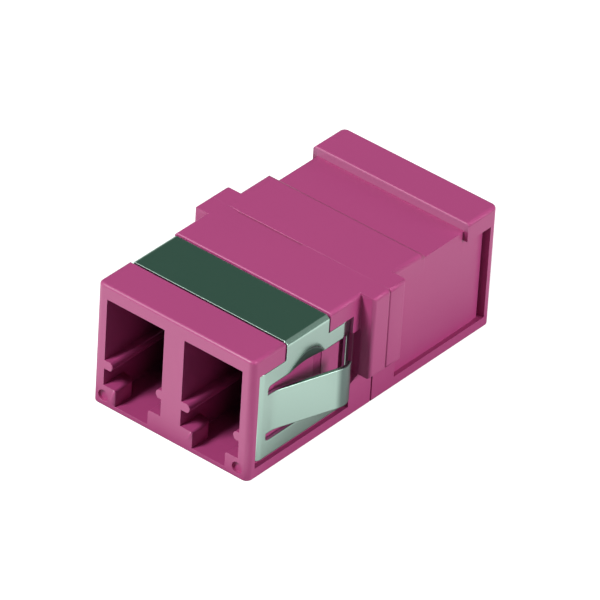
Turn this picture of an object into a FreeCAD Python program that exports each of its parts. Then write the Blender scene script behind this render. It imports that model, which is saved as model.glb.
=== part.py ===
import FreeCAD, Part
import math
import os
import Sketcher
from FreeCAD import Placement, Rotation, Vector

# A duplex fibre adapter. Two moulded halves are joined on the plane y = 0, one turned end for end.
# Each has two ports side by side with the latch channel at the bottom. They differ only in the
# pockets for the tails and dimples of the clip, which the front half alone has. A split ceramic
# sleeve lies in each pair of moulded barrels and lines up two ferrules. A folded spring-steel clip
# sits over the front half. X runs across the ports, Y along them with the clip's end at -Y, and Z
# up, with the underside at z = 0.

os.makedirs("parts", exist_ok=True)
doc = FreeCAD.newDocument("fibre_adapter")
sheet = doc.addObject("Spreadsheet::Sheet", "Sizes")

# Every driving size in millimetres (angles in degrees), with what it measures.
SIZES = [
    ("body_height", 9.0, "outside height of the body"),
    ("half_length", 11.85, "length of one half, from the middle plane to the port face"),
    ("corner_radius", 0.45, "upright corners of the port face"),
    ("edge_radius", 0.2, "rounding of the port face's upper edge"),
    ("long_radius", 0.25, "rounding of the top's edges along the body"),
    ("bottom_radius", 0.1, "rounding of the underside's edges"),
    ("seam_chamfer", 0.03, "chamfer on each side of the joint, across the top"),
    ("seam_width", 0.07, "half of the groove that shows the joint on the sides"),
    ("seam_depth", 0.08, "depth of that groove"),
    ("collar_length", 3.0, "collar round the port face"),
    ("saddle_length", 4.3, "low stretch of the top that the clip crosses"),
    ("saddle_depth", 0.7, "depth of that stretch"),
    ("saddle_radius", 0.12, "rounding of the upper edges on both sides of that stretch"),
    ("tab_height", 1.35, "height of the full-width tabs over the side seats"),
    ("rim_height", 0.75, "height of the rim under the side seats"),
    ("nose_length", 0.65, "rim between the port face and the hook slot"),
    ("hook_floor", 0.6, "depth of the hook slot from the side wall"),
    ("ramp_length", 0.8, "sloping lead-in beside the hook slot"),
    ("ramp_depth", 0.08, "extra depth at the end of the lead-in"),
    ("tail_slot_lag", 0.1, "how far behind the bend of the tail its slot begins"),
    ("tail_end_gap", 0.04, "gap behind the end of the tail in its slot"),
    ("tail_floor", 0.58, "depth of the tail slot and the ear pocket from the side wall"),
    ("pocket_low", 2.4, "height of the ear pocket's lower edge at its front"),
    ("pocket_rise", 0.45, "rise of that lower edge towards the ear"),
    ("pocket_top", 6.35, "top of the ear pocket"),
    ("pocket_recess", 0.1, "how far that pocket runs on behind the front of the ear"),
    ("relief_ahead", 1.14, "how far the pocket behind the clip's dimple runs on ahead of it"),
    ("relief_below", 1.7, "how far that pocket reaches below the dimple's centre"),
    ("relief_gap", 0.02, "gap between the dimple and the floor and edges of that pocket"),
    ("ear_width", 1.0, "how far each ear stands out from the side wall"),
    ("ear_half", 1.55, "half of an ear, along the body"),
    ("ear_low", 2.95, "underside of the ears"),
    ("ear_radius", 0.26, "rounding of the ears' outer edges"),
    ("port_pitch", 6.25, "distance between the two fibre axes"),
    ("port_width", 4.65, "inside width of a port"),
    ("side_wall", 0.85, "thickness of the side walls beside the ports"),
    ("port_floor", 0.35, "floor under the latch channel"),
    ("port_roof", 1.0, "thickness of the roof over the ports"),
    ("middle_wall", 2.0, "thickness of the wall behind the ports, in each half"),
    ("axis_height", 5.7, "height of the fibre axes"),
    ("left_rail_width", 0.68, "guide rail on the left wall of each port"),
    ("left_rail_low", 2.8, "its underside"),
    ("left_rail_high", 3.43, "its top"),
    ("right_rail_width", 0.45, "guide rail on the right wall of each port"),
    ("right_rail_low", 2.77, "its underside"),
    ("right_rail_high", 3.41, "its top"),
    ("rail_nose", 1.06, "radius of a rail's round edge, as a multiple of half its height"),
    ("catch_width", 1.0, "latch catch in each lower corner of a port"),
    ("catch_length", 1.85, "length of a catch"),
    ("left_catch_top", 1.56, "top of the left catch"),
    ("right_catch_top", 1.48, "top of the right catch"),
    ("catch_radius", 0.45, "rounded inner end of a catch"),
    ("catch_edge", 0.18, "rounding of a catch's upper edge"),
    ("barrel_wall", 0.57, "wall of the moulded barrel round a sleeve"),
    ("barrel_chamfer", 0.2, "chamfer on the end of a barrel"),
    ("sleeve_gap", 0.02, "gap round a sleeve in its bore"),
    ("sleeve_end_gap", 0.04, "gap past the end of a sleeve"),
    ("lip_thickness", 0.56, "lip that keeps a sleeve in, at the end of the barrel"),
    ("lip_gap", 0.055, "how much wider than the sleeve's bore the lip's opening is, all round"),
    ("lip_flare", 0.17, "how much wider that opening grows towards the port, all round"),
    ("mark_diameter", 0.8, "ejector mark on the port face"),
    ("mark_depth", 0.22, "depth of an ejector mark"),
    ("mark_inset", 0.87, "its distance from the side wall"),
    ("mark_height", 0.76, "its height"),
    ("peg_diameter", 1.0, "locating peg between the halves"),
    ("peg_length", 0.8, "length of a peg"),
    ("peg_inset", 0.05, "distance of a peg's axis outside the side wall"),
    ("peg_height", 6.0, "height of the pegs"),
    ("peg_clearance", 0.02, "gap round a peg in its socket"),
    ("peg_end_gap", 0.1, "gap past the end of a peg"),
    ("sleeve_length", 6.8, "length of a split sleeve"),
    ("sleeve_outer", 1.62, "outside diameter of a sleeve"),
    ("sleeve_inner", 1.25, "inside diameter of a sleeve"),
    ("sleeve_slit", 0.3, "width of the slit along a sleeve"),
    ("sheet_thickness", 0.25, "thickness of the clip's steel"),
    ("clip_recess", 0.1, "how far the clip's upper face lies under the top of the body"),
    ("clip_side_gap", 0.07, "gap between a side plate and its seat"),
    ("clip_bend", 0.35, "outside radius of the clip's shoulders"),
    ("clip_front_gap", 0.2, "gap between the collar and the clip"),
    ("clip_rear_gap", 0.09, "gap between the clip and the block behind it"),
    ("clip_low_gap", 0.42, "gap between a side plate and the rim under it"),
    ("clip_high_gap", 0.04, "gap between a side plate and the tab over it"),
    ("hook_bend", 0.5, "outside radius of the front hook"),
    ("hook_gap", 0.025, "gap on each side of the hook in its slot"),
    ("hook_end_gap", 0.05, "gap between the end of the hook and the floor of its slot"),
    ("tail_ahead", 1.7, "where the tail leaves the side plate, ahead of the ear"),
    ("tail_length", 1.0, "length of the tail"),
    ("tail_angle", 12.5, "inward angle of the tail"),
    ("window_ahead", 0.875, "plate between the front of the hook and the window"),
    ("window_behind", 0.55, "how far the window runs on into the tail"),
    ("lower_strip", 1.16, "plate under the window"),
    ("upper_strip", 1.13, "plate over the window"),
    ("window_radius", 0.28, "rounded corners of the window"),
    ("finger_low_gap", 0.59, "gap between the spring finger and the window's lower edge"),
    ("finger_high_gap", 0.65, "gap between the finger and the window's upper edge"),
    ("finger_root", 0.35, "where the finger starts to bend, behind the front of the window"),
    ("finger_bend", 2.4, "outside radius of the finger's first bend"),
    ("finger_angle", 18.0, "outward angle of the finger"),
    ("finger_run", 4.45, "straight run of the finger"),
    ("tip_bend", 1.3, "outside radius of the finger's tip"),
    ("tip_turn", 66.0, "turn of the tip, back towards the body"),
    ("tip_corner", 0.45, "rounded corners of the tip"),
    ("dimple_ahead", 3.85, "centre of the dimple, ahead of the rear of the window"),
    ("dimple_drop", 1.18, "how far that centre lies under the window's upper edge"),
    ("dimple_radius", 2.08, "radius of the dimple's edge"),
    ("dimple_floor", 1.1, "radius of the dimple's flat floor, which the window takes away"),
    ("dimple_slope", 11.5, "slope of the dimple's wall"),
    ("plate_corner", 0.3, "rounding of the upper front corner of a side plate"),
]

for row, (alias, value, meaning) in enumerate(SIZES, start=1):
    sheet.set(f"A{row}", meaning)
    sheet.set(f"B{row}", str(value))
    sheet.setAlias(f"B{row}", alias)
doc.recompute()


class Size:
    """A length with its value and the formula that binds it to the sheet."""

    def __init__(self, value, text):
        self.value = value
        self.text = text

    def __add__(self, other):
        other = as_size(other)
        return Size(self.value + other.value, f"({self.text} + {other.text})")

    def __sub__(self, other):
        other = as_size(other)
        return Size(self.value - other.value, f"({self.text} - {other.text})")

    def __mul__(self, other):
        other = as_size(other)
        return Size(self.value * other.value, f"({self.text} * {other.text})")

    def __truediv__(self, other):
        other = as_size(other)
        return Size(self.value / other.value, f"({self.text} / {other.text})")

    def __neg__(self):
        return Size(-self.value, f"(0 - {self.text})")


def as_size(item):
    return item if isinstance(item, Size) else Size(float(item), repr(float(item)))


def cosine(angle):
    return Size(math.cos(math.radians(angle.value)), f"cos({angle.text})")


def sine(angle):
    return Size(math.sin(math.radians(angle.value)), f"sin({angle.text})")


def root(item):
    return Size(math.sqrt(item.value), f"sqrt({item.text})")


def slope(rise, run):
    return Size(math.degrees(math.atan2(rise.value, run.value)), f"atan({rise.text} / {run.text})")


size = {alias: Size(value, f"Sizes.{alias}") for alias, value, meaning in SIZES}
ZERO = as_size(0)
# How far a feature starts inside the solid that it joins, and how far a cut runs past the surface.
BURIED = as_size(0.1)
PAST = as_size(1)


def new_body(label):
    body = doc.addObject("PartDesign::Body", label)
    body.Label = label
    return body


def origin_item(body, role):
    return next(item for item in body.Origin.OriginFeatures if item.Role == role)


def new_sketch(body, name, plane, offset=None):
    sketch = body.newObject("Sketcher::SketchObject", name)
    sketch.AttachmentSupport = [(origin_item(body, plane), "")]
    sketch.MapMode = "FlatFace"
    if offset is not None:
        sketch.AttachmentOffset = Placement(Vector(0, 0, offset.value), Rotation())
        sketch.setExpression("AttachmentOffset.Base.z", offset.text)
    return sketch


def pin_point(sketch, geometry, position, point):
    for kind, part in (("DistanceX", point[0]), ("DistanceY", point[1])):
        part = as_size(part)
        index = sketch.addConstraint(
            Sketcher.Constraint(kind, -1, 1, geometry, position, part.value))
        sketch.setExpression(f"Constraints[{index}]", part.text)


def add_outline(sketch, corners):
    """Closed outline. A corner is (u, v), or (u, v, radius, turn) where an arc starts there."""
    vectors = [Vector(as_size(c[0]).value, as_size(c[1]).value, 0) for c in corners]
    first = sketch.GeometryCount
    ends = []
    for i, corner in enumerate(corners):
        start, end = vectors[i], vectors[(i + 1) % len(corners)]
        if len(corner) == 2:
            sketch.addGeometry(Part.LineSegment(start, end), False)
            ends.append((1, 2))
            continue
        radius, turn = corner[2], corner[3]
        middle = (start + end) * 0.5
        chord = end - start
        height = math.sqrt(max(radius.value ** 2 - (chord.Length / 2) ** 2, 0))
        side = Vector(-chord.y, chord.x, 0).normalize() * height * turn
        centre = middle + side
        low, high = (start, end) if turn > 0 else (end, start)
        angle_low = math.atan2(low.y - centre.y, low.x - centre.x)
        angle_high = math.atan2(high.y - centre.y, high.x - centre.x)
        circle = Part.Circle(centre, Vector(0, 0, 1), radius.value)
        sketch.addGeometry(Part.ArcOfCircle(circle, angle_low, angle_high), False)
        ends.append((1, 2) if turn > 0 else (2, 1))
    for i, corner in enumerate(corners):
        here = first + i
        after = first + (i + 1) % len(corners)
        sketch.addConstraint(Sketcher.Constraint(
            "Coincident", here, ends[i][1], after, ends[(i + 1) % len(corners)][0]))
    for i, corner in enumerate(corners):
        pin_point(sketch, first + i, ends[i][0], corner)
        if len(corner) == 4:
            index = sketch.addConstraint(
                Sketcher.Constraint("Radius", first + i, corner[2].value))
            sketch.setExpression(f"Constraints[{index}]", corner[2].text)


def add_box(sketch, left, right, low, high):
    add_outline(sketch, [(left, low), (right, low), (right, high), (left, high)])


def add_circle(sketch, centre, diameter):
    middle = Vector(as_size(centre[0]).value, as_size(centre[1]).value, 0)
    circle = Part.Circle(middle, Vector(0, 0, 1), diameter.value / 2)
    index = sketch.addGeometry(circle, False)
    pin_point(sketch, index, 3, centre)
    rule = sketch.addConstraint(Sketcher.Constraint("Diameter", index, diameter.value))
    sketch.setExpression(f"Constraints[{rule}]", diameter.text)


def mirrored(corners):
    """The same outline on the other side of the body."""
    flipped = []
    count = len(corners)
    for i in range(count):
        corner = corners[count - 1 - i]
        before = corners[(count - 2 - i) % count]
        point = (-as_size(corner[0]), corner[1])
        flipped.append(point if len(before) == 2 else point + (before[2], before[3]))
    return flipped


def body_volume(body):
    return body.Shape.Volume if body.Tip and not body.Shape.isNull() else 0.0


def grow(body, kind, name, sketch, length, back=False, both=False, taper=None):
    """A pad or pocket whose direction is checked by the change in volume."""
    before = body_volume(body)
    feature = body.newObject(f"PartDesign::{kind}", name)
    feature.Profile = sketch
    feature.Length = length.value
    feature.setExpression("Length", length.text)
    feature.Reversed = back
    if both:
        feature.SideType = "Symmetric"
    if taper is not None:
        feature.TaperAngle = taper.value
        feature.setExpression("TaperAngle", taper.text)
    sketch.Visibility = False
    doc.recompute()
    change = body_volume(body) - before
    if (kind == "Pad") != (change > 0) or abs(change) < 1e-4:
        raise RuntimeError(f"{body.Label} {name} changed the volume by {change:.4f}, "
                           f"{feature.State}, sketch {sketch.State}")
    return feature


def edges_where(body, test):
    names = []
    for i, edge in enumerate(body.Shape.Edges, start=1):
        if test(edge):
            names.append(f"Edge{i}")
    return names


def round_edges(body, name, radius, test, kind="Fillet"):
    names = edges_where(body, test)
    if not names:
        raise RuntimeError(f"{body.Label} {name} found no edge")
    base = body.Tip
    feature = body.newObject(f"PartDesign::{kind}", name)
    feature.Base = (base, names)
    setting = "Radius" if kind == "Fillet" else "Size"
    setattr(feature, setting, radius.value)
    feature.setExpression(setting, radius.text)
    doc.recompute()
    if "Invalid" in feature.State:
        raise RuntimeError(f"{body.Label} {name}: {feature.getStatusString()}")
    return feature


def is_line(edge, direction):
    if edge.Curve.TypeId != "Part::GeomLine":
        return False
    return abs(edge.Curve.Direction.dot(direction)) > 0.9999


def near(value, target):
    return abs(value - target) < 1e-4


ALONG_X, ALONG_Y, ALONG_Z = Vector(1, 0, 0), Vector(0, 1, 0), Vector(0, 0, 1)

# Heights, widths and places that both the halves and the clip use.
half_port = size["port_width"] / 2
half_width = size["port_pitch"] / 2 + half_port + size["side_wall"]
over = half_width + size["ear_width"] + PAST
face_y = -size["half_length"]
collar_y = face_y + size["collar_length"]
block_y = collar_y + size["saddle_length"]
ear_y = -size["ear_half"]
tab_z = size["body_height"] - size["tab_height"]
port_top = size["body_height"] - size["port_roof"]
seat_x = half_width - size["sheet_thickness"] - size["clip_side_gap"]
slot_front_y = face_y + size["nose_length"]
hook_y = slot_front_y + size["hook_gap"]
slot_rear_y = hook_y + size["sheet_thickness"] + size["hook_gap"]
slot_floor_x = half_width - size["hook_floor"]
tail_start_y = ear_y - size["tail_ahead"]
tail_slot_y = tail_start_y + size["tail_slot_lag"]
tail_end_y = tail_start_y + cosine(size["tail_angle"]) * size["tail_length"]
tail_slot_end_y = tail_end_y + size["tail_end_gap"]
tail_floor_x = half_width - size["tail_floor"]
plate_low = size["rim_height"] + size["clip_low_gap"]
plate_top = tab_z - size["clip_high_gap"]
window_front_y = hook_y + size["window_ahead"]
window_rear_y = tail_start_y + size["window_behind"]
window_low = plate_low + size["lower_strip"]
window_top = plate_top - size["upper_strip"]
dimple_y = window_rear_y - size["dimple_ahead"]
dimple_z = window_top - size["dimple_drop"]

# The dimple is a shallow cone. It reaches deepest at the window's edge, where it is cut off.
dimple_rim, dimple_floor = size["dimple_radius"], size["dimple_floor"]
dimple_fall = sine(size["dimple_slope"]) / cosine(size["dimple_slope"])
dimple_wall = size["sheet_thickness"] / cosine(size["dimple_slope"])
dimple_reach = (dimple_rim - size["dimple_drop"]) * dimple_fall + dimple_wall
half_dimple = root(dimple_rim * dimple_rim - size["dimple_drop"] * size["dimple_drop"])
relief_x = half_width - dimple_reach - size["relief_gap"]
relief_front_y = dimple_y - half_dimple - size["relief_ahead"]
relief_rear_y = dimple_y + half_dimple + size["relief_gap"]
relief_low = dimple_z - size["relief_below"]
relief_top = dimple_z + dimple_rim + size["relief_gap"]

# The sleeves' seats in the two halves.
bore_diameter = size["sleeve_outer"] + size["sleeve_gap"] * 2
seat_length = size["sleeve_length"] / 2 + size["sleeve_end_gap"]
barrel_diameter = bore_diameter + size["barrel_wall"] * 2
barrel_reach = seat_length + size["lip_thickness"]
lip_diameter = size["sleeve_inner"] + size["lip_gap"] * 2
lip_slope = slope(size["lip_flare"], size["lip_thickness"])


def port_centres():
    return [-size["port_pitch"] / 2, size["port_pitch"] / 2]


# One moulded half, with its port face at -Y.
def make_housing(label, front):
    body = new_body(label)

    plan = new_sketch(body, "body_plan", "XY_Plane")
    upright = size["corner_radius"]
    add_outline(plan, [
        (-half_width, face_y + upright, upright, 1), (-half_width + upright, face_y),
        (half_width - upright, face_y, upright, 1), (half_width, face_y + upright),
        (half_width, ZERO), (-half_width, ZERO)])
    grow(body, "Pad", "body_block", plan, size["body_height"])

    # The rounded edges along the body, and above and below the port face.
    top_z = size["body_height"]
    long_corners = new_sketch(body, "long_corner_outline", "XZ_Plane")
    for level, rise, soft in ((top_z, 1, size["long_radius"]), (ZERO, -1, size["bottom_radius"])):
        corner = [
            (half_width, level - soft * rise, soft, rise), (half_width - soft, level),
            (half_width - soft, level + PAST * rise), (half_width + PAST, level + PAST * rise),
            (half_width + PAST, level - soft * rise)]
        add_outline(long_corners, corner)
        add_outline(long_corners, mirrored(corner))
    grow(body, "Pocket", "long_corners", long_corners, (size["half_length"] + PAST) * 2, both=True)
    face_corners = new_sketch(body, "face_corner_outline", "YZ_Plane")
    for level, rise, soft in ((top_z, 1, size["edge_radius"]), (ZERO, -1, size["bottom_radius"])):
        add_outline(face_corners, [
            (face_y, level - soft * rise, soft, -rise), (face_y + soft, level),
            (face_y + soft, level + PAST * rise), (face_y - PAST, level + PAST * rise),
            (face_y - PAST, level - soft * rise)])
    grow(body, "Pocket", "face_corners", face_corners, over * 2, both=True)

    ears = new_sketch(body, "ear_plan", "XY_Plane", size["ear_low"])
    add_box(ears, -half_width - size["ear_width"], half_width + size["ear_width"], ear_y, ZERO)
    grow(body, "Pad", "ears", ears, size["body_height"] - size["ear_low"])

    # The upright front edges of the ears and the ears' ends.
    ear_x = (half_width + size["ear_width"]).value
    round_edges(body, "ear_corners", size["ear_radius"],
                lambda e: near(abs(e.CenterOfMass.x), ear_x)
                and (near(e.CenterOfMass.y, ear_y.value)
                     or is_line(e, ALONG_Y)))
    # The groove that shows on the sides where the two halves meet, and its faint line on the top.
    round_edges(body, "seam_top", size["seam_chamfer"], lambda e: is_line(e, ALONG_X)
                and near(e.CenterOfMass.y, 0) and near(e.CenterOfMass.z, top_z.value), "Chamfer")
    for name, outer_x, low in (("ear", half_width + size["ear_width"], size["ear_low"] - PAST),
                               ("wall", half_width, -PAST)):
        groove = new_sketch(body, f"{name}_seam_plan", "XY_Plane", low)
        add_box(groove, outer_x - size["seam_depth"], over, -size["seam_width"], PAST)
        add_box(groove, -over, size["seam_depth"] - outer_x, -size["seam_width"], PAST)
        height = size["body_height"] - size["ear_low"] if name == "ear" else size["ear_low"]
        grow(body, "Pocket", f"{name}_seam", groove, height + PAST, back=True)

    # The low stretch of the top under the clip, and the side walls beside it.
    saddle = new_sketch(body, "saddle_outline", "YZ_Plane")
    soft = size["saddle_radius"]
    saddle_z = top_z - size["saddle_depth"]
    add_outline(saddle, [
        (collar_y, saddle_z), (block_y, saddle_z),
        (block_y, top_z - soft, soft, -1), (block_y + soft, top_z),
        (block_y + soft, top_z + PAST), (collar_y - soft, top_z + PAST),
        (collar_y - soft, top_z, soft, -1), (collar_y, top_z - soft)])
    grow(body, "Pocket", "saddle", saddle, over * 2, both=True)
    flanks = new_sketch(body, "flank_plan", "XY_Plane", tab_z - BURIED)
    add_box(flanks, seat_x, over, collar_y, block_y)
    add_box(flanks, -over, -seat_x, collar_y, block_y)
    grow(body, "Pocket", "flanks", flanks, size["tab_height"] + BURIED + PAST, back=True)

    # The seat for the clip's side plate: hook slot, lead-in and flat, and at the front half's rear
    # the deeper slot for the tail.
    if front:
        seat_end = [
            (tail_floor_x, tail_slot_end_y), (tail_floor_x, tail_slot_y), (seat_x, tail_slot_y)]
    else:
        seat_end = [(seat_x, tail_slot_end_y)]
    seat = [
        (slot_floor_x, slot_front_y),
        (over, slot_front_y),
        (over, tail_slot_end_y),
        *seat_end,
        (seat_x, slot_rear_y + size["ramp_length"]),
        (seat_x - size["ramp_depth"], slot_rear_y),
        (slot_floor_x, slot_rear_y),
    ]
    seats = new_sketch(body, "side_seat_plan", "XY_Plane", size["rim_height"])
    add_outline(seats, seat)
    add_outline(seats, mirrored(seat))
    grow(body, "Pocket", "side_seats", seats, tab_z - size["rim_height"], back=True)

    # The pocket in front of each ear, with its sloping lower edge, and the relief behind the
    # clip's dimple.
    if front:
        for side, name in ((1, "right"), (-1, "left")):
            start = tail_floor_x * side
            pocket = new_sketch(body, f"{name}_ear_pocket_outline", "YZ_Plane", start)
            add_outline(pocket, [
                (tail_slot_end_y - BURIED, size["pocket_low"]),
                (ear_y + size["pocket_recess"], size["pocket_low"] + size["pocket_rise"]),
                (ear_y + size["pocket_recess"], size["pocket_top"]),
                (tail_slot_end_y - BURIED, size["pocket_top"]),
            ])
            grow(body, "Pocket", f"{name}_ear_pocket", pocket, size["tail_floor"] + BURIED,
                 back=side > 0)
        relief = new_sketch(body, "dimple_relief_plan", "XY_Plane", relief_low)
        add_box(relief, relief_x, half_width, relief_front_y, relief_rear_y)
        add_box(relief, -half_width, -relief_x, relief_front_y, relief_rear_y)
        grow(body, "Pocket", "dimple_relief", relief, relief_top - relief_low, back=True)

    # The two ports.
    ports = new_sketch(body, "port_outline", "XZ_Plane", size["half_length"])
    for middle in port_centres():
        add_box(ports, middle - half_port, middle + half_port, size["port_floor"], port_top)
    port_depth = size["half_length"] - size["middle_wall"]
    grow(body, "Pocket", "ports", ports, port_depth)

    # Round-nosed rails that carry the plug, on both walls of each port.
    rails = new_sketch(body, "rail_outline", "XZ_Plane", size["middle_wall"])
    for middle in port_centres():
        for side, name in ((-1, "left"), (1, "right")):
            wall = middle + half_port * side
            low, high = size[f"{name}_rail_low"], size[f"{name}_rail_high"]
            half_rail = (high - low) / 2
            nose = half_rail * size["rail_nose"]
            bulge = nose - root(nose * nose - half_rail * half_rail)
            flat = wall - (size[f"{name}_rail_width"] - bulge) * side
            buried = wall + BURIED * side
            if side < 0:
                add_outline(rails, [(buried, low), (flat, low, nose, 1),
                                    (flat, high), (buried, high)])
            else:
                add_outline(rails, [(buried, high), (flat, high, nose, 1),
                                    (flat, low), (buried, low)])
    grow(body, "Pad", "rails", rails, port_depth)

    # Catches for the plug's latch, in the lower corners of each port.
    for side, name in ((-1, "left"), (1, "right")):
        catches = new_sketch(body, f"{name}_catch_plan", "XY_Plane", size["port_floor"] - BURIED)
        for middle in port_centres():
            wall = middle + half_port * side
            inner = wall - size["catch_width"] * side
            round_start = inner + size["catch_radius"] * side
            end_y = face_y + size["catch_length"]
            buried = wall + BURIED * side
            if side < 0:
                add_outline(catches, [
                    (buried, face_y), (inner, face_y),
                    (inner, end_y - size["catch_radius"], size["catch_radius"], 1),
                    (round_start, end_y), (buried, end_y)])
            else:
                add_outline(catches, [
                    (buried, end_y), (round_start, end_y, size["catch_radius"], 1),
                    (inner, end_y - size["catch_radius"]), (inner, face_y), (buried, face_y)])
        top, soft = size[f"{name}_catch_top"], size["catch_edge"]
        grow(body, "Pad", f"{name}_catches", catches, top - size["port_floor"] + BURIED)
        edges = new_sketch(body, f"{name}_catch_edge_outline", "XZ_Plane", size["half_length"])
        for middle in port_centres():
            inner = middle + (half_port - size["catch_width"]) * side
            add_outline(edges, [
                (inner, top - soft, soft, -side), (inner + soft * side, top),
                (inner + soft * side, top + BURIED), (inner - BURIED * side, top + BURIED),
                (inner - BURIED * side, top - soft)])
        grow(body, "Pocket", f"{name}_catch_edges", edges, size["catch_length"])

    # Barrels for the sleeves, open to the joint, with a lip at the outer end. The lip's opening
    # flares towards the port and guides a ferrule in.
    barrels = new_sketch(body, "barrel_outline", "XZ_Plane", size["middle_wall"] - BURIED)
    bores = new_sketch(body, "sleeve_bore_outline", "XZ_Plane")
    lips = new_sketch(body, "lip_outline", "XZ_Plane", seat_length)
    for middle in port_centres():
        add_circle(barrels, (middle, size["axis_height"]), barrel_diameter)
        add_circle(bores, (middle, size["axis_height"]), bore_diameter)
        add_circle(lips, (middle, size["axis_height"]), lip_diameter)
    grow(body, "Pad", "barrels", barrels, barrel_reach - size["middle_wall"] + BURIED)
    barrel_end = -barrel_reach.value
    round_edges(body, "barrel_ends", size["barrel_chamfer"],
                lambda e: near(e.CenterOfMass.y, barrel_end)
                and e.Curve.TypeId == "Part::GeomCircle", "Chamfer")
    grow(body, "Pocket", "sleeve_bores", bores, seat_length, back=True)
    grow(body, "Pocket", "lip_openings", lips, size["lip_thickness"] + BURIED, back=True,
         taper=lip_slope)

    # A locating peg on one side of the joint and its socket on the other.
    peg_x = half_width + size["peg_inset"]
    peg = new_sketch(body, "peg_outline", "XZ_Plane")
    add_circle(peg, (peg_x, size["peg_height"]), size["peg_diameter"])
    grow(body, "Pad", "peg", peg, size["peg_length"], back=True)
    socket = new_sketch(body, "socket_outline", "XZ_Plane")
    add_circle(socket, (-peg_x, size["peg_height"]),
               size["peg_diameter"] + size["peg_clearance"] * 2)
    grow(body, "Pocket", "socket", socket, size["peg_length"] + size["peg_end_gap"], back=True)

    # Shallow ejector marks on the port face.
    marks = new_sketch(body, "ejector_mark_outline", "XZ_Plane", size["half_length"])
    for side in (-1, 1):
        add_circle(marks, ((half_width - size["mark_inset"]) * side, size["mark_height"]),
                   size["mark_diameter"])
    grow(body, "Pocket", "ejector_marks", marks, size["mark_depth"])
    return body


front_housing = make_housing("front_housing", True)
rear_housing = make_housing("rear_housing", False)
rear_housing.Placement = Placement(Vector(0, 0, 0), Rotation(Vector(0, 0, 1), 180))


# A split ceramic sleeve, slit at the bottom, lying across the joint.
def make_sleeve(label, side):
    body = new_body(label)
    ring = new_sketch(body, "ring_outline", "XZ_Plane")
    outer, inner = size["sleeve_outer"] / 2, size["sleeve_inner"] / 2
    half_slit = size["sleeve_slit"] / 2
    outer_v = -root(outer * outer - half_slit * half_slit)
    inner_v = -root(inner * inner - half_slit * half_slit)
    ring_arcs = []
    for radius, level in ((outer, outer_v), (inner, inner_v)):
        start = math.atan2(level.value, half_slit.value)
        end = math.atan2(level.value, -half_slit.value)
        circle = Part.Circle(Vector(0, 0, 0), Vector(0, 0, 1), radius.value)
        index = ring.addGeometry(Part.ArcOfCircle(circle, start, end + 2 * math.pi), False)
        ring_arcs.append(index)
        ring.addConstraint(Sketcher.Constraint("Coincident", index, 3, -1, 1))
        rule = ring.addConstraint(Sketcher.Constraint("Radius", index, radius.value))
        ring.setExpression(f"Constraints[{rule}]", radius.text)
        for position, offset in ((1, half_slit), (2, -half_slit)):
            rule = ring.addConstraint(Sketcher.Constraint(
                "DistanceX", -1, 1, index, position, offset.value))
            ring.setExpression(f"Constraints[{rule}]", offset.text)
    for position, offset in ((1, half_slit.value), (2, -half_slit.value)):
        line = ring.addGeometry(Part.LineSegment(
            Vector(offset, outer_v.value, 0), Vector(offset, inner_v.value, 0)), False)
        ring.addConstraint(Sketcher.Constraint("Coincident", line, 1, ring_arcs[0], position))
        ring.addConstraint(Sketcher.Constraint("Coincident", line, 2, ring_arcs[1], position))
    grow(body, "Pad", "sleeve", ring, size["sleeve_length"], both=True)
    body.Placement = Placement(
        Vector(size["port_pitch"].value / 2 * side, 0, size["axis_height"].value), Rotation())
    body.setExpression("Placement.Base.x", f"Sizes.port_pitch / 2 * {side}")
    body.setExpression("Placement.Base.z", "Sizes.axis_height")
    return body


left_sleeve = make_sleeve("left_alignment_sleeve", -1)
right_sleeve = make_sleeve("right_alignment_sleeve", 1)


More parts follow.
